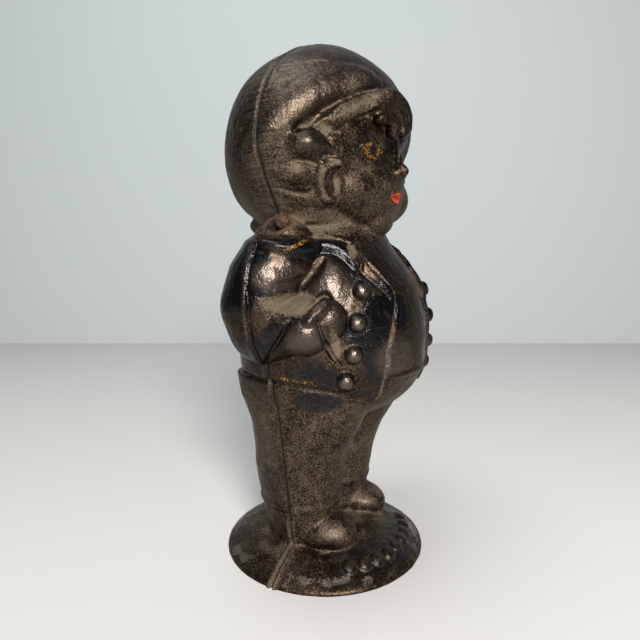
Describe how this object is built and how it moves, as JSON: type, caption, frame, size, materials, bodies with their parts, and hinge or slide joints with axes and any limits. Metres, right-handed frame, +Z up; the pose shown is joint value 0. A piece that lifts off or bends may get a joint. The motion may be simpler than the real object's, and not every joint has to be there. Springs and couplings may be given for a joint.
{
  "type": "door stop",
  "caption": "Hollow cast-iron door stop: a chubby standing child in an open jacket, hands in its pockets, on a domed round base, its front and rear castings held by a rivet across the neck.",
  "frame": {"origin": "centre of the base on the floor, at the bottom of the part", "axes": "+Z up, the child faces -Y, its right hand side is -X; the castings meet on the plane y = 0"},
  "size_m": [0.109, 0.0833, 0.2029],
  "materials": {
    "enamelled_iron": "worn black enamel over brown cast iron",
    "rusted_iron": "rusted, bare iron"
  },
  "bodies": {
    "root": {"front_casting": "enamelled_iron", "rear_casting": "enamelled_iron", "neck_rivet": "rusted_iron", "rivet_burr_right": "rusted_iron", "rivet_burr_left": "rusted_iron"}
  },
  "joints": []
}
